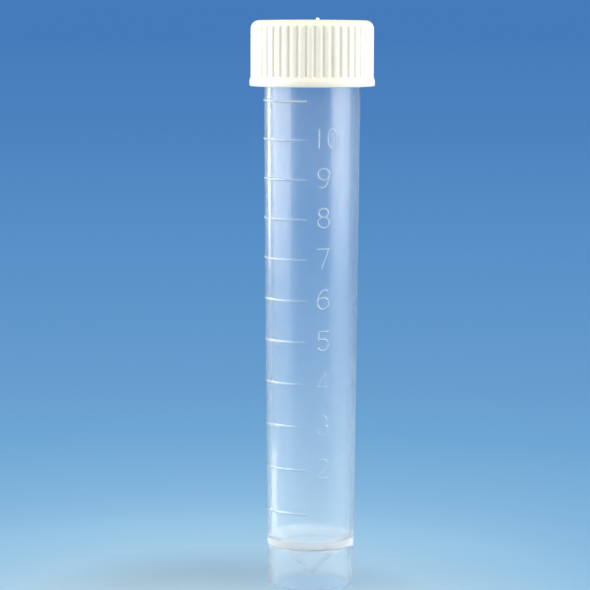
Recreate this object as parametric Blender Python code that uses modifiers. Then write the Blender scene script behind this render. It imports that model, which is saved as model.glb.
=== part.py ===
"""Self-standing 10 mL graduated tube with a ribbed screw cap and a plug seal.

Three pieces: tube_body (wall, conical floor, foot skirt, neck thread and
graduation ridges, one moulding), seal_liner (disc with an annular plug) and
screw_cap (ribbed shell with an internal thread and the gate nub).

Run with: blender --background --python part.py
Metres, +Z up. The origin is the centre of the foot, and the graduation
scale is on the -X side, ending at the front (-Y).
"""

import math

import bmesh
import bpy

MM = 0.001

# ---- driving dimensions, millimetres --------------------------------------
# Tube: the outside and the bore taper towards the foot (mould draft).
RIM_Z = 92.0
OUTER_R_FOOT = 7.243
OUTER_DRAFT = 0.0090  # outer radius gained per millimetre of height
BORE_R_LOW = 6.50  # bore radius where the conical floor begins
BORE_R_RIM = 7.19
NECK_R = 7.95
NECK_Z = 84.2  # below this the drafted wall, above it the straight neck
RIM_ROUND = 0.18

# Foot: a skirt around a conical floor
FLOOR_Z = 8.3  # top edge of the conical floor, inside
FLOOR_APEX_Z = 2.6
FLOOR_APEX_R = 0.9  # the inner tip is blunt
UNDER_APEX_Z = 1.5
UNDER_Z = 7.1  # where the underside of the floor meets the skirt
SKIRT_R_FOOT = 6.30
SKIRT_R_TOP = 6.38
FOOT_ROUND = 0.35

# Thread: single start, right hand
PITCH = 3.0
THREAD_BASE_W = 1.3
THREAD_CREST_W = 0.5
NECK_CREST_R = 8.65
NECK_THREAD_Z = 85.15  # centre line of the lower end
NECK_THREAD_TURNS = 1.75
THREAD_STEPS = 36  # sections per turn
FADE_STEPS = 3  # sections over which each end of a ridge rises
SINK = 0.35  # how far a ridge's root runs into the wall that carries it

# Graduation: one ridge per millilitre, from 1 to 11; the spacing follows
# the volume of the tapered bore
GRAD_FIRST_Z = 13.0
ML = 1000.0  # cubic millimetres
GRAD_LINES = 11
GRAD_PROUD = 0.20
GRAD_WIDTH = 0.40
GRAD_ARC = 114.0  # degrees round the tube
GRAD_END = -1.7  # where the ridges end, degrees from the front towards +X

# Cap
CAP_BASE_Z = 83.7
CAP_TOP_Z = 94.6
CAP_R = 10.18
CAP_BAND_R = 10.39
CAP_BAND_H = 1.4
CAP_CORNER = 1.4
CAP_BORE_R = 8.95
CAP_CREST_R = 8.25
CAP_CEILING_Z = 93.3
CAP_THREAD_DROP = 1.05  # cap ridge below the neck ridge, centre to centre
CAP_THREAD_TURNS = 1.5
RIBS = 45
GROOVE_R = 0.34
GROOVE_DEPTH = 0.28
GROOVE_LOW_Z = 85.25
GROOVE_HIGH_Z = 93.6
GROOVE_PHASE = 2.0  # degrees from the front towards +X to the nearest groove
NUB_R = 0.23
NUB_X = 0.87
NUB_H = 0.34

# Seal
SEAL_GAP = 0.30
SEAL_DISC_R = 8.25
SEAL_DISC_T = 0.70
PLUG_R = 6.85
PLUG_BORE_R = 5.90
PLUG_LOW_Z = 90.7

TUBE_STEPS = 60
CAP_STEPS = 2 * RIBS
SEAL_STEPS = 40


# ---- helpers ---------------------------------------------------------------
def clear_scene():
    for obj in list(bpy.data.objects):
        bpy.data.objects.remove(obj, do_unlink=True)


def collection(name):
    made = bpy.data.collections.new(name)
    bpy.context.scene.collection.children.link(made)
    return made


def material(name, colour, roughness, transmission=0.0):
    made = bpy.data.materials.new(name)
    made.use_nodes = True
    shader = made.node_tree.nodes["Principled BSDF"]
    shader.inputs["Base Color"].default_value = (*colour, 1.0)
    shader.inputs["Roughness"].default_value = roughness
    shader.inputs["Metallic"].default_value = 0.0
    shader.inputs["IOR"].default_value = 1.49
    shader.inputs["Transmission Weight"].default_value = transmission
    made.diffuse_color = (*colour, 1.0)
    return made


def mesh_object(name, bm, where):
    mesh = bpy.data.meshes.new(name)
    bm.to_mesh(mesh)
    bm.free()
    obj = bpy.data.objects.new(name, mesh)
    where.objects.link(obj)
    return obj


def turned(name, profiles, steps, where, angle=360.0, start=0.0):
    """Profiles of (radius, z) points in millimetres, turned about Z.

    A full turn takes open profiles that end on the axis, and a part turn
    takes closed sections.
    """
    bm = bmesh.new()
    turn = math.radians(start)
    for profile in profiles:
        points = [
            bm.verts.new((r * MM * math.cos(turn), r * MM * math.sin(turn), z * MM))
            for r, z in profile
        ]
        for a, b in zip(points, points[1:]):
            bm.edges.new((a, b))
        if angle < 360.0:
            bm.edges.new((points[-1], points[0]))
    obj = mesh_object(name, bm, where)
    screw = obj.modifiers.new("turn", "SCREW")
    screw.axis = "Z"
    screw.angle = math.radians(angle)
    screw.screw_offset = 0.0
    screw.steps = steps
    screw.render_steps = steps
    screw.use_merge_vertices = angle == 360.0
    screw.merge_threshold = 0.00001
    screw.use_smooth_shade = True
    return obj


def realised(obj):
    """The object's modifiers made into its mesh."""
    bpy.context.view_layer.update()
    graph = bpy.context.evaluated_depsgraph_get()
    mesh = bpy.data.meshes.new_from_object(obj.evaluated_get(graph))
    obj.modifiers.clear()
    obj.data = mesh
    return obj


def boolean(obj, other, operation):
    modifier = obj.modifiers.new(operation.lower() + "_" + other.name, "BOOLEAN")
    modifier.operation = operation
    modifier.object = other
    modifier.solver = "EXACT"


def as_cutter(obj):
    obj.hide_render = True
    obj.display_type = "WIRE"
    return obj


def thread_ridge(name, root_r, crest_r, low_z, turns, phase, where):
    """A trapezoid section carried along a right-hand helix, fading at both ends."""
    bm = bmesh.new()
    outward = 1.0 if crest_r > root_r else -1.0
    height = abs(crest_r - root_r)
    slope = (THREAD_BASE_W - THREAD_CREST_W) / 2 / height
    sunk_half = THREAD_BASE_W / 2 + slope * SINK
    count = round(turns * THREAD_STEPS)
    sections = []
    for i in range(count + 1):
        turn = math.radians(phase) + 2 * math.pi * i / THREAD_STEPS
        z = low_z + PITCH * i / THREAD_STEPS
        fade = min(1.0, i / FADE_STEPS, (count - i) / FADE_STEPS)
        crest = root_r + outward * height * (0.2 + 0.8 * fade)
        sunk = root_r - outward * SINK
        section = [
            (sunk, z - sunk_half),
            (crest, z - THREAD_CREST_W / 2),
            (crest, z + THREAD_CREST_W / 2),
            (sunk, z + sunk_half),
        ]
        sections.append(
            [
                bm.verts.new((r * MM * math.cos(turn), r * MM * math.sin(turn), h * MM))
                for r, h in section
            ]
        )
    for a, b in zip(sections, sections[1:]):
        for j in range(4):
            k = (j + 1) % 4
            bm.faces.new((a[j], a[k], b[k], b[j]))
    bm.faces.new(sections[0])
    bm.faces.new(list(reversed(sections[-1])))
    bmesh.ops.recalc_face_normals(bm, faces=bm.faces)
    return as_cutter(mesh_object(name, bm, where))


def smooth(obj):
    obj.data.shade_smooth()
    obj.data.set_sharp_from_angle(angle=math.radians(32))


def outer_r(z):
    return OUTER_R_FOOT + OUTER_DRAFT * z


def bore_r(z):
    share = (z - FLOOR_Z) / (RIM_Z - FLOOR_Z)
    return BORE_R_LOW + (BORE_R_RIM - BORE_R_LOW) * share


def arc(centre, radius, first, last, count):
    """Points (r, z) on an arc, with angles in degrees from the +R direction."""
    points = []
    for i in range(count + 1):
        a = math.radians(first + (last - first) * i / count)
        points.append(
            (centre[0] + radius * math.cos(a), centre[1] + radius * math.sin(a))
        )
    return points


def graduation_heights():
    """Heights of the millilitre ridges, each one millilitre of bore apart."""
    heights = [GRAD_FIRST_Z]
    while len(heights) < GRAD_LINES:
        z = heights[-1]
        step = ML / (math.pi * bore_r(z) ** 2)
        step = ML / (math.pi * bore_r(z + step / 2) ** 2)
        heights.append(z + step)
    return heights


# ---- pieces ----------------------------------------------------------------
def make_tube(parts, cutters):
    rim = arc((BORE_R_RIM + RIM_ROUND, RIM_Z - RIM_ROUND), RIM_ROUND, 180, 90, 2)
    rim += arc((NECK_R - RIM_ROUND, RIM_Z - RIM_ROUND), RIM_ROUND, 90, 0, 2)
    foot = arc(
        (outer_r(0) - FOOT_ROUND, FOOT_ROUND), FOOT_ROUND, 0, -90, 3
    )
    profile = [
        (0.0, FLOOR_APEX_Z),
        (FLOOR_APEX_R, FLOOR_APEX_Z + 0.35),
        (BORE_R_LOW - 0.5, FLOOR_Z - 0.62),
        (BORE_R_LOW, FLOOR_Z + 0.3),
        *rim,
        (NECK_R, NECK_Z),
        (outer_r(NECK_Z - 0.4), NECK_Z - 0.4),
        *foot,
        (SKIRT_R_FOOT + 0.1, 0.0),
        (SKIRT_R_FOOT, 0.15),
        (SKIRT_R_TOP, UNDER_Z - 0.5),
        (SKIRT_R_TOP - 0.45, UNDER_Z - 0.42),
        (FLOOR_APEX_R * 0.7, UNDER_APEX_Z + 0.55),
        (0.0, UNDER_APEX_Z),
    ]
    tube = turned("tube_body", [profile], TUBE_STEPS, parts)
    ridge = thread_ridge(
        "neck_thread", NECK_R, NECK_CREST_R, NECK_THREAD_Z, NECK_THREAD_TURNS, 0.0, cutters
    )
    boolean(tube, ridge, "UNION")
    sections = []
    for z in graduation_heights():
        low, high = z - GRAD_WIDTH / 2, z + GRAD_WIDTH / 2
        inner, outer = outer_r(z) - 0.3, outer_r(z) + GRAD_PROUD
        sections.append(
            [
                (inner, high),
                (outer - 0.08, high),
                (outer, z),
                (outer - 0.08, low),
                (inner, low),
            ]
        )
    # each ridge runs from -X, a little past the side, round to the front
    lines = realised(
        turned(
            "graduation_ridges", sections, round(GRAD_ARC / 360 * TUBE_STEPS),
            cutters, angle=GRAD_ARC, start=-90.0 - GRAD_ARC + GRAD_END,
        )
    )
    bm = bmesh.new()
    bm.from_mesh(lines.data)
    bmesh.ops.holes_fill(bm, edges=bm.edges, sides=0)
    bmesh.ops.recalc_face_normals(bm, faces=bm.faces)
    bm.to_mesh(lines.data)
    bm.free()
    boolean(tube, as_cutter(lines), "UNION")
    return realised(tube)


def make_seal(parts):
    disc_low = SEAL_GAP
    disc_high = SEAL_GAP + SEAL_DISC_T
    plug_low = PLUG_LOW_Z - RIM_Z
    profile = [
        (0.0, disc_high),
        (SEAL_DISC_R - 0.15, disc_high),
        (SEAL_DISC_R, disc_high - 0.15),
        (SEAL_DISC_R, disc_low),
        (PLUG_R, disc_low),
        (PLUG_R, plug_low + 0.45),
        (PLUG_R - 0.25, plug_low),
        (PLUG_BORE_R + 0.2, plug_low),
        (PLUG_BORE_R, plug_low + 0.2),
        (PLUG_BORE_R, disc_low),
        (0.0, disc_low),
    ]
    return realised(turned("seal_liner", [profile], SEAL_STEPS, parts))


def make_cap(parts, cutters):
    height = CAP_TOP_Z - CAP_BASE_Z
    ceiling = CAP_CEILING_Z - CAP_BASE_Z
    corner = arc((CAP_R - CAP_CORNER, height - CAP_CORNER - 0.05), CAP_CORNER, 90, 0, 5)
    profile = [
        (0.0, height),
        *corner,
        (CAP_R, CAP_BAND_H + 0.25),
        (CAP_BAND_R, CAP_BAND_H),
        (CAP_BAND_R, 0.15),
        (CAP_BAND_R - 0.15, 0.0),
        (CAP_BORE_R + 0.25, 0.0),
        (CAP_BORE_R, 0.25),
        (CAP_BORE_R, ceiling - 0.3),
        (CAP_BORE_R - 0.3, ceiling),
        (0.0, ceiling),
    ]
    # a vertex column of the turned shell lies on each groove
    cap = turned(
        "screw_cap", [profile], CAP_STEPS, parts, start=-90.0 + GROOVE_PHASE
    )

    bm = bmesh.new()
    low, high = GROOVE_LOW_Z - CAP_BASE_Z, GROOVE_HIGH_Z - CAP_BASE_Z
    for i in range(RIBS):
        turn = math.radians(-90.0 + GROOVE_PHASE + 360.0 * i / RIBS)
        centre_r = CAP_R + GROOVE_R - GROOVE_DEPTH
        made = bmesh.ops.create_cone(
            bm, cap_ends=True, segments=8,
            radius1=GROOVE_R * MM, radius2=GROOVE_R * MM, depth=(high - low) * MM,
        )
        for vert in made["verts"]:
            vert.co.x += centre_r * MM * math.cos(turn)
            vert.co.y += centre_r * MM * math.sin(turn)
            vert.co.z += (high + low) / 2 * MM
    grooves = as_cutter(mesh_object("rib_grooves", bm, cutters))

    ridge = thread_ridge(
        "cap_thread", CAP_BORE_R, CAP_CREST_R,
        NECK_THREAD_Z + PITCH / 4 - CAP_THREAD_DROP - CAP_BASE_Z,
        CAP_THREAD_TURNS, 90.0, cutters,
    )

    bm = bmesh.new()
    bmesh.ops.create_cone(
        bm, cap_ends=True, segments=12,
        radius1=NUB_R * MM, radius2=NUB_R * 0.85 * MM, depth=(NUB_H + 0.5) * MM,
    )
    nub = as_cutter(mesh_object("gate_nub", bm, cutters))
    nub.location = (NUB_X * MM, 0.0, (height + NUB_H / 2 - 0.25) * MM)

    boolean(cap, grooves, "DIFFERENCE")
    boolean(cap, ridge, "UNION")
    boolean(cap, nub, "UNION")
    return realised(cap)


def main():
    clear_scene()
    parts = collection("graduated_tube")
    cutters = collection("graduated_tube_cutters")

    tube = make_tube(parts, cutters)
    seal = make_seal(parts)
    cap = make_cap(parts, cutters)

    # the cap and its seal turn and lift on the tube's own axis, at the rim
    axis = bpy.data.objects.new("cap_axis", None)
    axis.empty_display_size = 0.01
    axis.location = (0.0, 0.0, RIM_Z * MM)
    parts.objects.link(axis)
    seal.parent = axis
    cap.parent = axis
    cap.location = (0.0, 0.0, (CAP_BASE_Z - RIM_Z) * MM)

    tube.data.materials.append(
        material("natural_polypropylene", (0.74, 0.82, 0.86), 0.32, 0.75)
    )
    seal.data.materials.append(
        material("soft_polyethylene", (0.72, 0.78, 0.74), 0.45, 0.15)
    )
    cap.data.materials.append(material("white_polyethylene", (0.93, 0.91, 0.84), 0.42))
    for obj in (tube, seal, cap):
        smooth(obj)


main()
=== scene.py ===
"""Looks for the self-standing graduated tube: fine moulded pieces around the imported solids."""

import math

import bmesh
import bpy
import numpy as np
from mathutils import Matrix, Vector


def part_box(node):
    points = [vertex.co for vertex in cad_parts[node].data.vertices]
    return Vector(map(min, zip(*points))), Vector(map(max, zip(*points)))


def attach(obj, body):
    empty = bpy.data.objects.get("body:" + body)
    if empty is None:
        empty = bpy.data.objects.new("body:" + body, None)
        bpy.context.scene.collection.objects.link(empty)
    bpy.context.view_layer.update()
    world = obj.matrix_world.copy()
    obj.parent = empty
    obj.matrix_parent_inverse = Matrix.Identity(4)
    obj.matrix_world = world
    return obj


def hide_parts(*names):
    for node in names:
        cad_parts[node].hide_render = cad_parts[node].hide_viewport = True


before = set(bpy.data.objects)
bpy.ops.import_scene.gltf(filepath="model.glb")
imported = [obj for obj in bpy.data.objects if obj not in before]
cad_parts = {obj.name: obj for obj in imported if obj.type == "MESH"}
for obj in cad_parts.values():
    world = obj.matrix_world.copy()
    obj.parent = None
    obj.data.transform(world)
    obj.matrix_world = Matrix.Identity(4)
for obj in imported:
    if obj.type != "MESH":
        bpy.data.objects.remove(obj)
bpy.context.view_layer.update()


MM = 0.001

# ---- sizes, millimetres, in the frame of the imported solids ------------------
TUBE_LOW, TUBE_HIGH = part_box("tube_body")
CAP_LOW, CAP_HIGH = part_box("screw_cap")
SEAL_LOW, SEAL_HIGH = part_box("seal_liner")
RIM_Z = TUBE_HIGH.z / MM
CAP_BASE_Z = CAP_LOW.z / MM
NUB_TOP_Z = CAP_HIGH.z / MM
NUB_H = 0.34
CAP_TOP_Z = NUB_TOP_Z - NUB_H
CAP_BAND_R = (CAP_HIGH.x - CAP_LOW.x) / 2 / MM
SEAL_R = (SEAL_HIGH.x - SEAL_LOW.x) / 2 / MM
SEAL_TOP_Z = SEAL_HIGH.z / MM
PLUG_LOW_Z = SEAL_LOW.z / MM

OUTER_R_FOOT, OUTER_DRAFT = 7.243, 0.0090
BORE_R_LOW, BORE_R_RIM = 6.50, 7.19
FLOOR_Z, FLOOR_APEX_Z, UNDER_APEX_Z, UNDER_Z = 8.3, 2.6, 1.5, 7.0
SKIRT_R_FOOT, SKIRT_R_TOP = 6.30, 6.38
NECK_R, NECK_Z, NECK_CREST_R = 7.95, 84.2, 8.65
PITCH, THREAD_BASE_W, THREAD_CREST_W = 3.0, 1.3, 0.5
NECK_THREAD_Z, NECK_THREAD_TURNS = 85.15, 1.75
CAP_R, CAP_BORE_R, CAP_CREST_R, CAP_CEILING_Z = 10.18, 8.95, 8.25, 93.3
CAP_THREAD_DROP, CAP_THREAD_TURNS = 1.05, 1.5
RIBS, GROOVE_PHASE = 45, 2.0
GRAD_FIRST_Z, GRAD_LINES, ML = 13.0, 11, 1000.0


def outer_r(z):
    return OUTER_R_FOOT + OUTER_DRAFT * z


def bore_r(z):
    return BORE_R_LOW + (BORE_R_RIM - BORE_R_LOW) * (z - FLOOR_Z) / (RIM_Z - FLOOR_Z)


def smoothstep(a, b, x):
    t = np.clip((x - a) / (b - a), 0.0, 1.0)
    return t * t * (3 - 2 * t)


# ---- mesh building ----------------------------------------------------------
class Surface:
    """A closed surface built ring by ring round the Z axis."""

    def __init__(self):
        self.points = []
        self.faces = []
        # milk also carries painted light: marks milkier towards the top, lines fading towards the
        # numbers, a lightened wall under the neck
        self.milk = []  # 0 on a thin wall, towards 1 where the plastic is thick

    def add(self, xyz, milk=0.0):
        first = len(self.points)
        self.points.extend(map(tuple, xyz))
        self.milk.extend(np.broadcast_to(milk, (len(self.points) - first,)))
        return list(range(first, len(self.points)))

    def ring(self, azimuths, r, z, milk=0.0):
        """azimuths in degrees from the front (-Y) towards +X."""
        a = np.radians(azimuths)
        r = np.broadcast_to(r, a.shape)
        z = np.broadcast_to(z, a.shape)
        return self.add(np.stack([r * np.sin(a), -r * np.cos(a), z], axis=1), milk)

    def pole(self, z, milk=0.0):
        return self.add([(0.0, 0.0, z)], milk)

    def join(self, a, b):
        """Faces between two rings, where one may hold a whole number of times the other's points."""
        if len(a) == 1 or len(b) == 1:
            rim, tip = (b, a[0]) if len(a) == 1 else (a, b[0])
            for i in range(len(rim)):
                self.faces.append((rim[i], rim[(i + 1) % len(rim)], tip))
        elif len(a) == len(b):
            n = len(a)
            for i in range(n):
                j = (i + 1) % n
                self.faces.append((a[i], a[j], b[j], b[i]))
        else:
            many, few = (a, b) if len(a) > len(b) else (b, a)
            k, n = len(many) // len(few), len(few)
            for i in range(n):
                run = [many[(k * i + m) % len(many)] for m in range(k + 1)]
                self.faces.append((few[(i + 1) % n], few[i], *run))

    def object(self, name):
        mesh = bpy.data.meshes.new(name)
        mesh.from_pydata(
            [(x * MM, y * MM, z * MM) for x, y, z in self.points], [], self.faces
        )
        bm = bmesh.new()
        bm.from_mesh(mesh)
        bmesh.ops.recalc_face_normals(bm, faces=bm.faces)
        if bm.calc_volume(signed=True) < 0:
            bmesh.ops.reverse_faces(bm, faces=bm.faces)
        bm.to_mesh(mesh)
        bm.free()
        milk = mesh.attributes.new("milk", "FLOAT", "POINT")
        milk.data.foreach_set("value", np.array(self.milk, dtype=np.float32))
        obj = bpy.data.objects.new(name, mesh)
        bpy.context.scene.collection.objects.link(obj)
        return obj


def arc(centre, radius, first, last, count):
    """Points (r, z) on an arc, angles in degrees from the +R direction."""
    a = np.radians(np.linspace(first, last, count + 1))
    return [
        (centre[0] + radius * math.cos(t), centre[1] + radius * math.sin(t)) for t in a
    ]


def line(a, b, count):
    """count points from a up to, and without, b."""
    return [
        (a[0] + (b[0] - a[0]) * i / count, a[1] + (b[1] - a[1]) * i / count)
        for i in range(count)
    ]


def smooth(obj, degrees=35):
    obj.data.shade_smooth()
    obj.data.set_sharp_from_angle(angle=math.radians(degrees))


def thread_height(azimuth, z, low_z, turns, height, phase):
    """How far a thread ridge stands off its wall at these azimuths and heights."""
    turn = np.mod(azimuth - phase, 360.0) / 360.0
    best = np.zeros(np.broadcast(azimuth, z).shape)
    for k in range(int(math.ceil(turns)) + 1):
        along = turn + k
        centre = low_z + PITCH * along
        fade = smoothstep(0.0, 0.12, along) * smoothstep(0.0, 0.12, turns - along)
        off = np.abs(z - centre)
        flank = (THREAD_BASE_W / 2 - off) / ((THREAD_BASE_W - THREAD_CREST_W) / 2)
        flank = np.clip(flank, 0.0, 1.0)
        flank = flank * flank * (3 - 2 * flank) * 0.35 + flank * 0.65
        best = np.maximum(best, height * flank * fade)
    return best


# ---- graduation -------------------------------------------------------------
def graduation_heights():
    heights = [GRAD_FIRST_Z]
    while len(heights) < GRAD_LINES:
        z = heights[-1]
        step = ML / (math.pi * bore_r(z) ** 2)
        step = ML / (math.pi * bore_r(z + step / 2) ** 2)
        heights.append(z + step)
    return heights


LINES = graduation_heights()
LINE_FIRST, LINE_LAST = -116.0, -7.0  # azimuths of the two ends of a line
LINE_HALF, LINE_PROUD = 0.18, 0.14
STROKE_HALF, STROKE_PROUD = 0.14, 0.11
DIGIT_H, DIGIT_W = 3.15, 1.9
DIGIT_RISE = 0.3  # the numbers sit a little above their lines


def ellipse(cx, cy, rx, ry, first, last, count=18):
    a = np.radians(np.linspace(first, last, count + 1))
    return [(cx + rx * math.cos(t), cy + ry * math.sin(t)) for t in a]


def digit_strokes(digit):
    """Single strokes in a box DIGIT_W wide and DIGIT_H high about (0, 0)."""
    h, w = DIGIT_H / 2, DIGIT_W / 2
    upper, lower = 0.71, 0.865  # half heights of the two bowls of 3, 6, 8 and 9
    if digit == "0":
        return [ellipse(0, 0, w * 0.84, h, 0, 360, 40)]
    if digit == "1":
        return [[(0, -h), (0, h)]]
    if digit == "2":
        top = ellipse(0, h - w * 0.93, w * 0.93, w * 0.93, 170, -32, 22)
        return [top + [(-w, -h), (w, -h)]]
    if digit == "3":
        top = ellipse(-0.03, h - upper, w * 0.86, upper, 150, -90, 20)
        low = ellipse(-0.03, -h + lower, w * 0.97, lower, 90, -155, 22)
        return [top + low]
    if digit == "4":
        return [[(0.36, -h), (0.36, h), (-w, -0.66), (w, -0.66)]]
    if digit == "5":
        bowl = ellipse(-0.06, -h + 0.97, w * 1.0, 0.97, 125, -150, 24)
        return [[(w * 0.85, h), (-w * 0.72, h), (-w * 0.8, 0.2), *bowl[2:]]]
    if digit == "6":
        bowl = ellipse(0, -h + 0.94, w, 0.94, 180, -180, 34)
        back = ellipse(0.32, -h + 0.94, w + 0.32, 2 * h - 0.94, 180, 72, 18)
        return [bowl, back]
    if digit == "7":
        return [[(-w, h), (w, h), (-w * 0.28, -h)]]
    if digit == "8":
        return [
            ellipse(0, h - upper, w * 0.84, upper, 0, 360, 30),
            ellipse(0, -h + lower, w, lower, 0, 360, 34),
        ]
    bowl = ellipse(0, h - 0.94, w, 0.94, 0, 360, 34)
    tail = ellipse(-0.32, h - 0.94, w + 0.32, 2 * h - 0.94, 0, -108, 18)
    return [bowl, tail]


def marks():
    """Every stroke of the numbers, as polylines of (arc length, z), with the height of its line."""
    found = []
    for number in range(1, 11):
        z = LINES[number - 1] + DIGIT_RISE
        text = str(number)
        places = [1.92] if len(text) == 1 else [1.16, 3.40]
        for char, u in zip(text, places):
            for stroke in digit_strokes(char):
                found.append((z, [(u + x, z + y) for x, y in stroke]))
    return found


MARKS = marks()


def stroke_distance(u, v, polyline):
    best = np.full(u.shape, 9.0)
    for (ax, ay), (bx, by) in zip(polyline, polyline[1:]):
        dx, dy = bx - ax, by - ay
        length = dx * dx + dy * dy
        if length < 1e-12:
            continue
        t = np.clip(((u - ax) * dx + (v - ay) * dy) / length, 0, 1)
        best = np.minimum(best, np.hypot(u - ax - t * dx, v - ay - t * dy))
    return best


def bead(distance, half, proud):
    """A rounded bead with a soft foot."""
    t = np.clip(1 - distance / half, 0.0, 1.0)
    return proud * np.sqrt(t * (2 - t)) * smoothstep(0.0, 0.35, t)


def wall_relief(azimuth, z):
    """How far the moulded marks stand off the outer wall, on arrays."""
    azimuth, z = np.broadcast_arrays(np.asarray(azimuth, float), np.asarray(z, float))
    u = np.radians(azimuth) * outer_r(z)
    relief = np.zeros(z.shape)
    first, last = np.radians(LINE_FIRST) * outer_r(z), np.radians(LINE_LAST) * outer_r(z)
    outside = np.maximum(0.0, np.maximum(first - u, u - last))
    for centre in LINES:
        near = np.abs(z - centre) < 0.5
        d = np.hypot(outside[near], z[near] - centre)
        # all but the top line die away towards the numbers
        lower = 0.0 if centre == LINES[-1] else 0.35
        fade = 1 - lower * smoothstep(-58.0, -14.0, azimuth[near])
        relief[near] = np.maximum(relief[near], bead(d, LINE_HALF, LINE_PROUD) * fade)
    for centre, polyline in MARKS:
        near = (np.abs(z - centre) < DIGIT_H / 2 + 0.3) & (u > 0.3) & (u < 5.2)
        if near.any():
            d = stroke_distance(u[near], z[near], polyline)
            relief[near] = np.maximum(relief[near], bead(d, STROKE_HALF, STROKE_PROUD))
    # the lowest marks are the shallowest
    return relief * (0.7 + 0.3 * smoothstep(15.0, 45.0, z))


# ---- tube ---------------------------------------------------------------------
RING_MILK, CONE_MILK = 0.37, 0.13


def mark_milk(z, numbers=False):
    """The raised marks scatter more than the bare wall; that they grow milkier towards the top is
    painted light, as if lit from above.
    """
    line = 0.17 + 0.36 * smoothstep(12.0, 60.0, z)
    number = 0.13 + 0.27 * smoothstep(15.0, 55.0, z)
    return np.where(numbers, number, line)


def wall_milk(z):
    """The wall is milkier towards the floor; from 45 mm up to the neck it grows milkier again as
    painted light, lightening the wall where the cap shades it; below 7 mm the skirt is made clearer.
    """
    wall = 0.055 * (1 - smoothstep(12.0, 60.0, z)) + 0.025 * smoothstep(45.0, 84.0, z)
    return wall - 0.02 * (1 - smoothstep(5.0, 7.0, z))


def thickness_milk(r, z):
    """Milkiness of the inner surfaces: the floor's junction ring is thick, the cone less so."""
    if r > 7.05 or z > 80:
        return 0.0
    if z > 6.9:
        ring = RING_MILK * (1 - smoothstep(8.4, 9.1, z))
        return float(max(ring, wall_milk(z)))
    return CONE_MILK


def outer_ring_milk(z):
    return float(RING_MILK * smoothstep(6.75, 7.15, z) * (1 - smoothstep(8.1, 8.55, z)))


def steps_between(a, b, step):
    n = max(1, int(round((b - a) / step)))
    return list(np.linspace(a, b, n + 1)[:-1])


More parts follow.
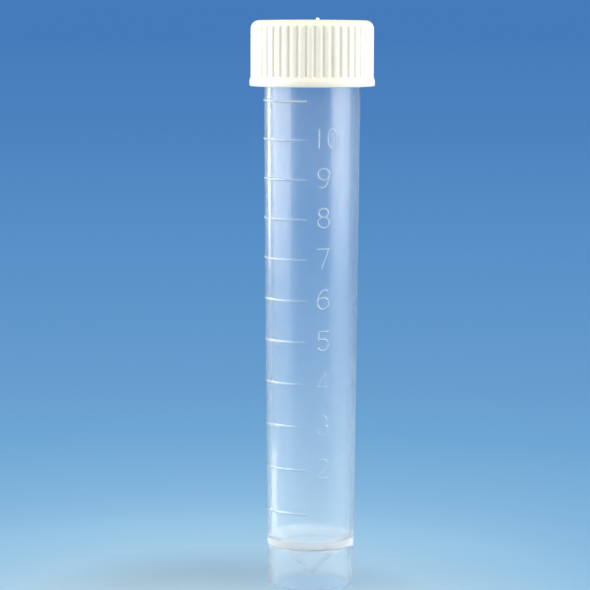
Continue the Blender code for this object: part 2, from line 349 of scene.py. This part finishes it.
def make_tube():
    fine_first, fine_last = 4.4, 38.0
    azimuths = (
        steps_between(-180, -118, 3.0)
        + steps_between(-118, -113, 0.7)
        + steps_between(-113, -8, 2.5)
        + steps_between(-8, -2, 0.5)
        + steps_between(-2, fine_first, 1.6)
    )
    f0 = len(azimuths)
    azimuths += steps_between(fine_first, fine_last, 0.5)
    f1 = len(azimuths)
    azimuths += steps_between(fine_last, 180, 2.8)
    az = np.array(azimuths)
    n = len(az)

    s = Surface()
    # inside: blunt tip, conical floor, bore, rim
    slope = (FLOOR_Z - FLOOR_APEX_Z) / BORE_R_LOW
    tip = [(0.25, FLOOR_APEX_Z + 0.05), (0.5, FLOOR_APEX_Z + 0.22)]
    cone_low = (0.75, FLOOR_APEX_Z + 0.22 + slope * 0.25)
    inside = tip + line(cone_low, (5.85, FLOOR_Z - 0.72), 10)
    inside += [
        (5.85, FLOOR_Z - 0.72),
        (6.14, FLOOR_Z - 0.44),
        (6.33, FLOOR_Z - 0.18),
        (6.44, FLOOR_Z + 0.12),
        (6.49, FLOOR_Z + 0.5),
    ]
    inside += line((bore_r(9.4), 9.4), (bore_r(RIM_Z - 0.6), RIM_Z - 0.6), 26)
    rim = arc((BORE_R_RIM + 0.2, RIM_Z - 0.2), 0.2, 180, 90, 5)
    rim += arc((NECK_R - 0.2, RIM_Z - 0.2), 0.2, 90, 0, 5)
    previous = s.pole(FLOOR_APEX_Z, CONE_MILK)
    for r, z in inside + rim:
        current = s.ring(az, r, z, thickness_milk(r, z))
        s.join(previous, current)
        previous = current
    # neck with its thread
    for z in steps_between(RIM_Z - 0.45, NECK_Z, -0.15):
        ridge = thread_height(
            az + 180.0, z, NECK_THREAD_Z, NECK_THREAD_TURNS, NECK_CREST_R - NECK_R, 90.0
        )
        current = s.ring(az, NECK_R + ridge, z, 0.1 + 0.4 * ridge)
        s.join(previous, current)
        previous = current
    for r, z in ((NECK_R, NECK_Z), (outer_r(83.8), 83.8)):
        current = s.ring(az, r, z, 0.05)
        s.join(previous, current)
        previous = current
    # graduated wall: coarse rows all round, fine rows where the numbers are
    coarse = set()
    for z in LINES:
        coarse.update(round(z + d, 4) for d in (-0.28, -0.2, -0.14, -0.07, 0, 0.07, 0.14, 0.2, 0.28))
    marks_z = sorted(LINES)
    gaps = [83.2, *reversed(marks_z), 1.2]
    for high, low in zip(gaps, gaps[1:]):
        for z in steps_between(high - 0.6, low + 0.6, -1.3)[1:]:
            coarse.add(round(float(z), 4))
    coarse |= {83.2, 2.2, 1.2, 6.55, 6.8, 7.05, 7.5, 8.0, 8.3, 8.5, 8.75, 9.1}
    coarse = sorted(coarse, reverse=True)
    rows = [(z, [], wall_relief(az, z)) for z in coarse]
    numbered = [z + DIGIT_RISE for z in LINES[:10]]
    for i, (z, extra, _) in enumerate(rows[:-1]):
        below = coarse[i + 1]
        reach = DIGIT_H / 2 + 0.2
        if any(z > c - reach and below < c + reach for c in numbered):
            extra.extend(steps_between(z, below, -0.095)[1:])
    fine_az = az[f0 : f1 + 1]
    current = None
    for i, (z, extra, relief) in enumerate(rows):
        milk = relief / LINE_PROUD * mark_milk(z, az > 0)
        # painted shade: below 78 mm the lines' milkiness fades by half towards the numbers, on the
        # side away from the left lamps
        milk *= 1 - 0.5 * smoothstep(-58.0, -14.0, az) * (az < 0) * (z < 78)
        milk = np.maximum(milk, max(outer_ring_milk(z), float(wall_milk(z))))
        current = s.ring(az, outer_r(z) + relief, z, milk)
        if i == 0:
            s.join(previous, current)
        else:
            between = rows[i - 1][1]
            columns = [[] for _ in fine_az]
            for ze in between:
                raised = wall_relief(fine_az, ze)
                milk = raised / STROKE_PROUD * mark_milk(ze, True)
                milk = np.maximum(milk, wall_milk(ze))
                made = s.ring(fine_az, outer_r(ze) + raised, ze, milk)
                for column, vert in zip(columns, made):
                    column.append(vert)
            for k in range(n):
                j = (k + 1) % n
                if f0 <= k < f1 and between:
                    left = [previous[k], *columns[k - f0], current[k]]
                    right = [previous[j], *columns[j - f0], current[j]]
                    for m in range(len(left) - 1):
                        s.faces.append((left[m], right[m], right[m + 1], left[m + 1]))
                elif k == f0 - 1 and between:
                    s.faces.append(
                        (previous[k], previous[j], *columns[0], current[j], current[k])
                    )
                elif k == f1 and between:
                    s.faces.append(
                        (previous[k], previous[j], current[j], current[k], *reversed(columns[-1]))
                    )
                else:
                    s.faces.append((previous[k], previous[j], current[j], current[k]))
        previous = current
    # foot, skirt, underside of the cone
    foot = arc((outer_r(0) - 0.42, 0.42), 0.42, 0, -90, 6)
    foot += arc((SKIRT_R_FOOT + 0.16, 0.16), 0.16, -90, -180, 3)
    foot += line((SKIRT_R_FOOT, 0.3), (SKIRT_R_TOP, UNDER_Z - 0.75), 6)
    foot += [
        (SKIRT_R_TOP, UNDER_Z - 0.75),
        (SKIRT_R_TOP - 0.05, UNDER_Z - 0.5),
        (SKIRT_R_TOP - 0.2, UNDER_Z - 0.36),
        (SKIRT_R_TOP - 0.5, UNDER_Z - 0.36),
    ]
    foot += line((SKIRT_R_TOP - 0.95, UNDER_Z - 0.62), (0.55, UNDER_APEX_Z + 0.28), 10)
    foot += [(0.55, UNDER_APEX_Z + 0.28), (0.38, UNDER_APEX_Z + 0.13), (0.2, UNDER_APEX_Z + 0.04)]
    for r, z in foot:
        current = s.ring(az, r, z, thickness_milk(r, z) if z > 1.6 and r < 6.36 else 0.05)
        s.join(previous, current)
        previous = current
    s.join(previous, s.pole(UNDER_APEX_Z, CONE_MILK))
    obj = s.object("graduated_tube")
    smooth(obj, 50)
    return obj


# ---- cap ------------------------------------------------------------------------
def groove_depth(azimuth, z):
    """The grip grooves: narrow, with a flat floor, ending short of both edges."""
    pitch = 360.0 / RIBS
    off = (azimuth - GROOVE_PHASE + pitch / 2) % pitch - pitch / 2
    off = np.abs(np.radians(off)) * CAP_R
    across = 1 - smoothstep(0.12, 0.42, off)
    ends = smoothstep(85.15, 85.4, z) * (1 - smoothstep(93.25, 93.75, z))
    crown = 0.035 * (off / 0.71) ** 2  # the rib's own rounded crest
    return ends * (0.25 * across + 0.035 - crown * (1 - across))


def make_cap():
    outer_az = np.linspace(-180, 180, RIBS * 16, endpoint=False)
    inner_az = outer_az[::4]
    s = Surface()
    corner_r = 1.42
    crown = 0.09
    top = [
        (r, CAP_TOP_Z - crown * (r / 8.76) ** 2)
        for r in (0.6, 1.5, 3.0, 4.6, 6.2, 7.4, 8.2)
    ]
    corner = arc(
        (CAP_R - corner_r, CAP_TOP_Z - crown - corner_r), corner_r, 90, 0, 12
    )
    side = [(CAP_R, float(z)) for z in steps_between(92.9, 85.5, -0.9)]
    side += [(CAP_R, z) for z in (85.5, 85.4, 85.33, 85.27, 85.2, 85.14)]
    # the plain band flares a little, with a soft edge above and below
    band = [
        (CAP_R + 0.03, 85.05),
        (CAP_R + 0.1, 84.92),
        (CAP_BAND_R - 0.05, 84.75),
        (CAP_BAND_R - 0.01, 84.45),
        (CAP_BAND_R, CAP_BASE_Z + 0.2),
        (CAP_BAND_R - 0.04, CAP_BASE_Z + 0.08),
        (CAP_BAND_R - 0.13, CAP_BASE_Z),
    ]
    previous = s.pole(CAP_TOP_Z)
    centre = s.ring(inner_az, 0.25, CAP_TOP_Z)
    s.join(previous, centre)
    previous = centre
    for r, z in top + corner + side + band:
        current = s.ring(outer_az, r - groove_depth(outer_az, z), z)
        s.join(previous, current)
        previous = current
    mouth = [
        (CAP_BORE_R + 0.35, CAP_BASE_Z),
        (CAP_BORE_R + 0.12, CAP_BASE_Z + 0.1),
        (CAP_BORE_R + 0.02, CAP_BASE_Z + 0.3),
    ]
    for r, z in mouth:
        current = s.ring(inner_az, r, z)
        s.join(previous, current)
        previous = current
    low = NECK_THREAD_Z + PITCH / 4 - CAP_THREAD_DROP
    for z in steps_between(CAP_BASE_Z + 0.42, 90.2, 0.13):
        ridge = thread_height(
            inner_az + 180.0, z, low, CAP_THREAD_TURNS, CAP_BORE_R - CAP_CREST_R, 180.0
        )
        current = s.ring(inner_az, CAP_BORE_R - ridge, z)
        s.join(previous, current)
        previous = current
    ceiling = line((CAP_BORE_R, 90.4), (CAP_BORE_R, CAP_CEILING_Z - 0.5), 3)
    ceiling += arc((CAP_BORE_R - 0.4, CAP_CEILING_Z - 0.4), 0.4, 0, 90, 5)
    ceiling += [(r, CAP_CEILING_Z) for r in (7.0, 5.0, 3.0, 1.0)]
    for r, z in ceiling:
        current = s.ring(inner_az, r, z)
        s.join(previous, current)
        previous = current
    s.join(previous, s.pole(CAP_CEILING_Z))
    obj = s.object("ribbed_cap")
    smooth(obj, 40)
    return obj


def make_nub():
    """The gate mark left on the cap's top, a little off centre."""
    s = Surface()
    az = np.linspace(-180, 180, 24, endpoint=False)
    base, high = CAP_TOP_Z - 0.25, NUB_TOP_Z
    previous = s.pole(base)
    profile = [(0.36, base), (0.36, CAP_TOP_Z - 0.02), (0.29, CAP_TOP_Z + 0.05)]
    profile += [(0.27, high - 0.16), (0.24, high - 0.08), (0.18, high - 0.03), (0.09, high - 0.005)]
    for r, z in profile:
        current = s.ring(az, r, z)
        s.join(previous, current)
        previous = current
    s.join(previous, s.pole(high))
    obj = s.object("gate_nub")
    obj.location.x = 0.87 * MM
    smooth(obj, 50)
    return obj


# ---- seal -------------------------------------------------------------------------
def make_seal():
    s = Surface()
    az = np.linspace(-180, 180, 144, endpoint=False)
    top, low = SEAL_TOP_Z, RIM_Z + 0.3
    profile = [(r, top) for r in (1.0, 3.0, 5.0, 7.0)]
    profile += arc((SEAL_R - 0.16, top - 0.16), 0.16, 90, 0, 4)
    profile += arc((SEAL_R - 0.12, low + 0.12), 0.12, 0, -90, 3)
    profile += line((SEAL_R - 0.5, low), (7.0, low), 3)
    # the plug: a slight interference bead near its lead-in
    profile += [
        (6.92, low),
        (6.82, low - 0.08),
        (6.78, low - 0.4),
        (6.82, low - 0.75),
        (6.85, low - 0.95),
        (6.81, low - 1.15),
        (6.66, low - 1.4),
        (6.5, PLUG_LOW_Z + 0.06),
        (6.38, PLUG_LOW_Z),
        (6.1, PLUG_LOW_Z),
        (5.96, PLUG_LOW_Z + 0.06),
        (5.9, PLUG_LOW_Z + 0.2),
        (5.9, low - 0.25),
        (5.84, low - 0.08),
        (5.68, low),
    ]
    # faint turned rings in the middle of the disc
    for r in np.arange(5.2, 0.4, -0.2):
        profile.append((float(r), low + 0.02 * math.cos(2 * math.pi * r / 1.2)))
    previous = s.pole(top)
    for r, z in profile:
        current = s.ring(az, r, z)
        s.join(previous, current)
        previous = current
    s.join(previous, s.pole(low + 0.02))
    obj = s.object("plug_seal")
    smooth(obj, 45)
    return obj


# ---- materials ------------------------------------------------------------------------
def new_material(name):
    made = bpy.data.materials.new(name)
    made.use_nodes = True
    made.node_tree.nodes.clear()
    return made, made.node_tree


def node(tree, kind, **values):
    made = tree.nodes.new(kind)
    for key, value in values.items():
        if key in made.inputs:
            made.inputs[key].default_value = value
        else:
            setattr(made, key, value)
    return made


def noise(tree, scale, detail=3.0, roughness=0.5, stretch=(1, 1, 1)):
    where = node(tree, "ShaderNodeTexCoord")
    mapped = node(tree, "ShaderNodeMapping")
    mapped.inputs["Scale"].default_value = stretch
    made = node(tree, "ShaderNodeTexNoise", Scale=scale, Detail=detail, Roughness=roughness)
    tree.links.new(where.outputs["Object"], mapped.inputs["Vector"])
    tree.links.new(mapped.outputs["Vector"], made.inputs["Vector"])
    return made.outputs["Fac"]


def ramp(tree, source, stops):
    made = node(tree, "ShaderNodeValToRGB")
    elements = made.color_ramp.elements
    while len(elements) > 1:
        elements.remove(elements[-1])
    for i, (place, colour) in enumerate(stops):
        element = elements[0] if i == 0 else elements.new(place)
        element.position = place
        element.color = (*colour, 1.0) if len(colour) == 3 else colour
    tree.links.new(source, made.inputs["Fac"])
    return made.outputs["Color"]


def value_range(tree, source, low, high, new_low, new_high):
    made = node(tree, "ShaderNodeMapRange")
    made.inputs["From Min"].default_value = low
    made.inputs["From Max"].default_value = high
    made.inputs["To Min"].default_value = new_low
    made.inputs["To Max"].default_value = new_high
    tree.links.new(source, made.inputs["Value"])
    return made.outputs["Result"]


def tube_material():
    """Natural polypropylene: clear enough to see through, with a milky body."""
    made, tree = new_material("natural_polypropylene")
    out = node(tree, "ShaderNodeOutputMaterial")
    shader = node(tree, "ShaderNodeBsdfPrincipled")
    shader.inputs["IOR"].default_value = 1.37
    cloud = noise(tree, 160.0, 4.0, 0.55, (1, 1, 0.35))
    colour = ramp(tree, cloud, [(0.3, (0.95, 0.98, 1.0)), (0.7, (0.98, 0.995, 1.0))])
    tree.links.new(colour, shader.inputs["Base Color"])
    # thick places and raised marks scatter more; the milk attribute also brings in painted light and
    # shade on the marks and the wall
    milk = node(tree, "ShaderNodeAttribute", attribute_name="milk")
    clearness = node(tree, "ShaderNodeMath", operation="MULTIPLY_ADD", use_clamp=True)
    clearness.inputs[1].default_value = -0.8
    tree.links.new(milk.outputs["Fac"], clearness.inputs[0])
    tree.links.new(
        value_range(tree, cloud, 0.3, 0.7, 0.965, 0.99), clearness.inputs[2]
    )
    tree.links.new(clearness.outputs[0], shader.inputs["Transmission Weight"])
    tree.links.new(
        value_range(tree, noise(tree, 900.0, 3.0), 0.3, 0.7, 0.17, 0.23),
        shader.inputs["Roughness"],
    )
    shader.inputs["Specular IOR Level"].default_value = 0.13
    bump = node(tree, "ShaderNodeBump", Strength=0.06, Distance=0.0002)
    tree.links.new(noise(tree, 420.0, 3.0), bump.inputs["Height"])
    tree.links.new(bump.outputs["Normal"], shader.inputs["Normal"])
    # lamps reach the inside and what stands behind the wall
    path = node(tree, "ShaderNodeLightPath")
    clear = node(tree, "ShaderNodeBsdfTransparent", Color=(0.73, 0.79, 0.85, 1))
    mix = node(tree, "ShaderNodeMixShader")
    tree.links.new(path.outputs["Is Shadow Ray"], mix.inputs["Fac"])
    tree.links.new(shader.outputs["BSDF"], mix.inputs[1])
    tree.links.new(clear.outputs["BSDF"], mix.inputs[2])
    tree.links.new(mix.outputs["Shader"], out.inputs["Surface"])
    return made


def cap_material():
    """Creamy white polyethylene with a satin moulded skin."""
    made, tree = new_material("white_polyethylene")
    out = node(tree, "ShaderNodeOutputMaterial")
    shader = node(tree, "ShaderNodeBsdfPrincipled")
    shader.inputs["IOR"].default_value = 1.5
    shader.inputs["Subsurface Weight"].default_value = 0.12
    shader.inputs["Subsurface Radius"].default_value = (1.0, 0.85, 0.6)
    shader.inputs["Subsurface Scale"].default_value = 0.0009
    cloud = noise(tree, 240.0, 4.0, 0.6)
    colour = ramp(tree, cloud, [(0.3, (0.91, 0.88, 0.765)), (0.7, (0.96, 0.94, 0.84))])
    tree.links.new(colour, shader.inputs["Base Color"])
    tree.links.new(
        value_range(tree, noise(tree, 1500.0, 3.0), 0.3, 0.7, 0.36, 0.5),
        shader.inputs["Roughness"],
    )
    bump = node(tree, "ShaderNodeBump", Strength=0.22, Distance=0.00006)
    tree.links.new(noise(tree, 2600.0, 3.0), bump.inputs["Height"])
    tree.links.new(bump.outputs["Normal"], shader.inputs["Normal"])
    tree.links.new(shader.outputs["BSDF"], out.inputs["Surface"])
    return made


def seal_material():
    """Soft grey-green polyethylene."""
    made, tree = new_material("soft_polyethylene")
    out = node(tree, "ShaderNodeOutputMaterial")
    shader = node(tree, "ShaderNodeBsdfPrincipled")
    shader.inputs["IOR"].default_value = 1.5
    shader.inputs["Subsurface Weight"].default_value = 0.2
    shader.inputs["Subsurface Radius"].default_value = (0.8, 1.0, 0.8)
    shader.inputs["Subsurface Scale"].default_value = 0.001
    cloud = noise(tree, 300.0, 4.0, 0.6)
    colour = ramp(tree, cloud, [(0.3, (0.60, 0.67, 0.62)), (0.7, (0.68, 0.75, 0.70))])
    tree.links.new(colour, shader.inputs["Base Color"])
    tree.links.new(
        value_range(tree, noise(tree, 1200.0, 2.0), 0.3, 0.7, 0.4, 0.52),
        shader.inputs["Roughness"],
    )
    bump = node(tree, "ShaderNodeBump", Strength=0.2, Distance=0.00005)
    tree.links.new(noise(tree, 2000.0, 2.0), bump.inputs["Height"])
    tree.links.new(bump.outputs["Normal"], shader.inputs["Normal"])
    tree.links.new(shader.outputs["BSDF"], out.inputs["Surface"])
    return made


# ---- stage ----------------------------------------------------------------------------
def linear(*srgb):
    return tuple(
        v / 255 / 12.92 if v / 255 <= 0.04045 else ((v / 255 + 0.055) / 1.055) ** 2.4
        for v in srgb
    )


# painted shade and light on the floor: the darker stops near the object are a painted contact shadow
# round the foot, and beyond 34 mm the colour darkens with distance as a painted falloff of light
FLOOR_STOPS = [  # distance from the object in millimetres, and the colour there
    (0, (134, 168, 196)),
    (16, (139, 174, 203)),
    (34, (156, 197, 228)),
    (57, (147, 194, 228)),
    (88, (132, 182, 221)),
    (164, (110, 166, 212)),
    (266, (102, 156, 206)),
    (632, (88, 144, 200)),
    (1817, (76, 130, 190)),
]
FAR_BLUE = (70, 123, 187)
# painted light: a pale pool painted into the floor's colour
PAINTED_LIGHT_POOL = (196, 220, 233)  # a pale pool of light on the floor in front of the object


def make_floor():
    bm = bmesh.new()
    bmesh.ops.create_circle(bm, cap_ends=True, segments=96, radius=12.0)
    mesh = bpy.data.meshes.new("pale_floor")
    bm.to_mesh(mesh)
    bm.free()
    floor = bpy.data.objects.new("pale_floor", mesh)
    floor.location.z = -0.00002
    bpy.context.scene.collection.objects.link(floor)

    made, tree = new_material("floor_paper")
    out = node(tree, "ShaderNodeOutputMaterial")
    where = node(tree, "ShaderNodeTexCoord")
    length = node(tree, "ShaderNodeVectorMath", operation="LENGTH")
    # the painted floor gradient, with its painted contact shadow, is centred a little to the left of
    # the foot
    shifted = node(tree, "ShaderNodeVectorMath", operation="ADD")
    shifted.inputs[1].default_value = (0.014, 0.006, 0.0)
    tree.links.new(where.outputs["Object"], shifted.inputs[0])
    tree.links.new(shifted.outputs[0], length.inputs[0])
    # a logarithm spreads the near stops out along the ramp
    log = node(tree, "ShaderNodeMath", operation="LOGARITHM")
    plus = node(tree, "ShaderNodeMath", operation="ADD")
    plus.inputs[1].default_value = 0.01
    tree.links.new(length.outputs["Value"], plus.inputs[0])
    tree.links.new(plus.outputs["Value"], log.inputs[0])
    log.inputs[1].default_value = 10.0
    low, high = -2.0, 1.0

    def place(mm):
        return (math.log10(mm * MM + 0.01) - low) / (high - low)

    spread = value_range(tree, log.outputs["Value"], low, high, 0.0, 1.0)
    stops = [(place(mm), linear(*c)) for mm, c in FLOOR_STOPS]
    stops.append((1.0, linear(*FAR_BLUE)))
    base = ramp(tree, spread, stops)
    # painted pool of light: the pale colour blends in within about 0.1 m of a point in front of the
    # foot and to its left
    front = node(tree, "ShaderNodeVectorMath", operation="DISTANCE")
    front.inputs[1].default_value = (-0.012, -0.075, 0.0)
    tree.links.new(where.outputs["Object"], front.inputs[0])
    share = node(tree, "ShaderNodeMapRange", interpolation_type="SMOOTHSTEP")
    share.inputs["From Min"].default_value = 0.105
    share.inputs["From Max"].default_value = 0.02
    tree.links.new(front.outputs["Value"], share.inputs["Value"])
    blend = node(tree, "ShaderNodeMix", data_type="RGBA")
    blend.inputs[7].default_value = (*linear(*PAINTED_LIGHT_POOL), 1.0)
    tree.links.new(share.outputs["Result"], blend.inputs[0])
    tree.links.new(base, blend.inputs[6])
    colour = blend.outputs[2]
    # painted light: the floor glows with its painted colour, all of it from 70 mm out and 40 % of it
    # near the object, where the rest is matt
    glow = node(tree, "ShaderNodeEmission", Strength=1.0)
    tree.links.new(colour, glow.inputs["Color"])
    matt = node(tree, "ShaderNodeBsdfDiffuse")
    tree.links.new(colour, matt.inputs["Color"])
    mix = node(tree, "ShaderNodeMixShader")
    tree.links.new(
        value_range(tree, length.outputs["Value"], 0.0, 0.07, 0.4, 1.0), mix.inputs["Fac"]
    )
    tree.links.new(matt.outputs["BSDF"], mix.inputs[1])
    tree.links.new(glow.outputs["Emission"], mix.inputs[2])
    tree.links.new(mix.outputs["Shader"], out.inputs["Surface"])
    mesh.materials.append(made)
    return floor


def make_world():
    world = bpy.data.worlds.new("studio")
    bpy.context.scene.world = world
    world.use_nodes = True
    tree = world.node_tree
    tree.nodes.clear()
    out = node(tree, "ShaderNodeOutputWorld")
    path = node(tree, "ShaderNodeLightPath")
    seen = node(tree, "ShaderNodeBackground", Color=(*linear(*FAR_BLUE), 1), Strength=1.0)
    light = node(tree, "ShaderNodeBackground", Color=(0.60, 0.50, 0.37, 1), Strength=1.05)
    sheen = node(tree, "ShaderNodeBackground", Color=(0.11, 0.24, 0.45, 1), Strength=1.0)
    glossy = node(tree, "ShaderNodeMixShader")
    tree.links.new(path.outputs["Is Glossy Ray"], glossy.inputs["Fac"])
    tree.links.new(seen.outputs["Background"], glossy.inputs[1])
    tree.links.new(sheen.outputs["Background"], glossy.inputs[2])
    mix = node(tree, "ShaderNodeMixShader")
    tree.links.new(path.outputs["Is Diffuse Ray"], mix.inputs["Fac"])
    tree.links.new(glossy.outputs["Shader"], mix.inputs[1])
    tree.links.new(light.outputs["Background"], mix.inputs[2])
    tree.links.new(mix.outputs["Shader"], out.inputs["Surface"])


def softbox(name, azimuth, height, distance, size, power, colour, aim=0.05, roll=0.0):
    """A rectangular lamp at an azimuth from the front towards +X, facing the object."""
    data = bpy.data.lights.new(name, "AREA")
    data.shape = "RECTANGLE"
    data.size, data.size_y = size
    data.energy = power
    data.color = colour
    # an even diffuser that dies away at its edges
    data.use_nodes = True
    tree = data.node_tree
    emission = next(n for n in tree.nodes if n.type == "EMISSION")
    where = node(tree, "ShaderNodeNewGeometry")
    parts = node(tree, "ShaderNodeSeparateXYZ")
    tree.links.new(where.outputs["Parametric"], parts.inputs[0])
    falls = []
    for axis in ("X", "Y"):
        off = node(tree, "ShaderNodeMath", operation="SUBTRACT")
        off.inputs[1].default_value = 0.5
        tree.links.new(parts.outputs[axis], off.inputs[0])
        size_of = node(tree, "ShaderNodeMath", operation="ABSOLUTE")
        tree.links.new(off.outputs[0], size_of.inputs[0])
        fall = node(tree, "ShaderNodeMapRange", interpolation_type="SMOOTHSTEP")
        fall.inputs["From Min"].default_value = 0.5
        fall.inputs["From Max"].default_value = 0.34
        tree.links.new(size_of.outputs[0], fall.inputs["Value"])
        falls.append(fall.outputs["Result"])
    both = node(tree, "ShaderNodeMath", operation="MULTIPLY")
    tree.links.new(falls[0], both.inputs[0])
    tree.links.new(falls[1], both.inputs[1])
    tree.links.new(both.outputs[0], emission.inputs["Strength"])
    lamp = bpy.data.objects.new(name, data)
    a = math.radians(azimuth)
    lamp.location = (distance * math.sin(a), -distance * math.cos(a), height)
    direction = Vector((0, 0, aim)) - Vector(lamp.location)
    lamp.rotation_euler = direction.to_track_quat("-Z", "Y").to_euler()
    lamp.rotation_euler.rotate_axis("Z", math.radians(roll))
    lamp.visible_camera = False
    lamp.visible_transmission = False  # or the far lamp would flood the wall from behind
    bpy.context.scene.collection.objects.link(lamp)
    return lamp


def make_camera():
    data = bpy.data.cameras.new("camera")
    data.sensor_width = 36.0
    data.lens = 2503.0 / 590.0 * 36.0
    data.clip_start = 0.02
    data.clip_end = 60.0
    cam = bpy.data.objects.new("camera", data)
    tilt = Matrix.Rotation(math.radians(90.0 - 6.32), 4, "X")
    roll = Matrix.Rotation(math.radians(0.16), 4, "Z")
    cam.matrix_world = Matrix.Translation((-0.00274, -0.4158, 0.0949)) @ tilt @ roll
    bpy.context.scene.collection.objects.link(cam)
    bpy.context.scene.camera = cam


def main():
    make_camera()
    scene = bpy.context.scene
    scene.view_settings.view_transform = "Standard"
    scene.view_settings.look = "None"

    tube, cap, nub, seal = make_tube(), make_cap(), make_nub(), make_seal()
    polypropylene, white, soft = tube_material(), cap_material(), seal_material()
    tube.data.materials.append(polypropylene)
    cap.data.materials.append(white)
    nub.data.materials.append(white)
    seal.data.materials.append(soft)
    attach(tube, "tube")
    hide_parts("tube_body")
    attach(cap, "cap")
    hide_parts("screw_cap")
    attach(nub, "cap")
    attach(seal, "seal")
    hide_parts("seal_liner")

    make_floor()
    make_world()
    warm = (1.0, 0.945, 0.86)
    softbox("left_softbox", -82, 0.17, 0.45, (0.62, 0.60), 4.9, warm)
    # the rest only draw the long soft bands and highlights on the tube's wall
    wall = bpy.data.collections.new("lit_wall")
    wall.objects.link(tube)
    for lamp in (
        softbox("left_band", -80, 0.17, 0.45, (0.62, 0.60), 6.4, warm),
        softbox("right_band", 65, 0.17, 0.50, (0.46, 0.60), 4.5, warm),
        softbox("left_strip", -123, 0.10, 0.20, (0.036, 0.150), 0.23, warm, aim=0.10, roll=-12),
        softbox("low_strip", -104, 0.0085, 0.045, (0.020, 0.018), 0.0055, warm, aim=0.0085),
    ):
        lamp.visible_diffuse = False
        lamp.light_linking.receiver_collection = wall
    softbox("right_softbox", 76, 0.17, 0.50, (0.62, 0.60), 5.0, warm)
    softbox("top_softbox", 10, 0.55, 0.12, (0.35, 0.35), 0.55, warm)


main()
